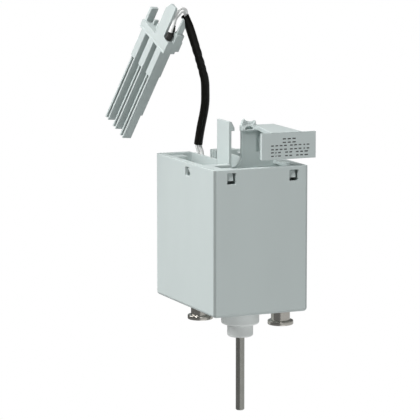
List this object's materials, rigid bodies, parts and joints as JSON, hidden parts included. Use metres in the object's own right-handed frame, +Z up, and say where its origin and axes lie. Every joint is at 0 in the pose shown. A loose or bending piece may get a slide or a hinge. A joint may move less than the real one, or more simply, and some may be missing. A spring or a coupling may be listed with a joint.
{
  "type": "plug-in undervoltage release",
  "caption": "Grey box with a coil inside, a sprung steel rod below between mushroom studs, a latch arm and label flag on top, and a short lead to a legged plug.",
  "frame": {"origin": "middle of the housing's underside", "axes": "+Z up out of the housing's open top, -Y the front face under the label, +X to the right; the push rod points down along -Z"},
  "size_m": [0.05, 0.068, 0.1395],
  "materials": {
    "grey_plastic": "fine spark-eroded texture",
    "ground_steel": "ground, lightly oiled",
    "spring_steel": "drawn wire",
    "nickel": "bright nickel plate",
    "tinned_contact": "bright tin",
    "zinc_plate": "passivated zinc plate",
    "brass_tube": "drawn",
    "enamelled_copper": null,
    "dark_nylon": "glass-filled nylon",
    "amber_tape": "polyester film tape",
    "tan_ceramic": "lacquered ceramic",
    "black_rubber": "soft, matte",
    "black_sleeve": "heat-shrunk polyolefin sleeve, satin",
    "white_wire": "extruded insulation",
    "board_green": "solder-masked glass epoxy",
    "terminal_green": "moulded polyamide",
    "black_epoxy": "moulded epoxy",
    "blue_epoxy": "dipped epoxy"
  },
  "bodies": {
    "body": {"housing": "grey_plastic", "top_cover": "grey_plastic", "lead_clamp": "grey_plastic", "guide_bush": "grey_plastic", "buffer_ring": "black_rubber", "return_spring": "spring_steel", "fixed_core": "ground_steel", "core_clip": "zinc_plate", "guide_tube": "brass_tube", "bobbin": "dark_nylon", "coil_winding": "enamelled_copper", "winding_tape": "amber_tape", "yoke_frame": "zinc_plate", "yoke_top_plate": "zinc_plate", "mounting_stud_left": "nickel", "stud_nut_left": "zinc_plate", "mounting_stud_right": "nickel", "stud_nut_right": "zinc_plate", "circuit_board": "board_green", "smoothing_capacitor": "black_epoxy", "varistor": "blue_epoxy", "resistor": "tan_ceramic", "bridge_rectifier": "black_epoxy", "controller_chip": "black_epoxy", "lead_terminal": "terminal_green", "coil_lead_1": "enamelled_copper", "coil_lead_2": "enamelled_copper", "lead_wire_a": "white_wire", "lead_wire_b": "white_wire", "lead_sleeve": "black_sleeve", "plug_wire_a": "white_wire", "plug_wire_b": "white_wire", "plug_body": "grey_plastic", "plug_contact_1": "tinned_contact", "plug_contact_2": "tinned_contact", "plug_contact_3": "tinned_contact", "wire_boot_1": "black_rubber", "wire_boot_2": "black_rubber"},
    "plunger": {"push_rod": "ground_steel", "armature": "ground_steel", "retaining_clip": "zinc_plate"},
    "latch": {"latch_arm": "grey_plastic"}
  },
  "joints": [
    {"name": "plunger_slide", "type": "slide", "parent": "body", "child": "plunger", "axis": [0, 0, 1], "range_m": [0, 0.006], "stiffness_N_per_m": 300, "springref_m": -0.01, "deforming": ["return_spring"]},
    {"name": "latch_flex", "type": "hinge", "parent": "body", "child": "latch", "pos_m": [-0.0045, -0.0045, 0.041], "axis": [0, 1, 0], "range_deg": [-4, 0], "stiffness_Nm_per_rad": 0.6}
  ]
}
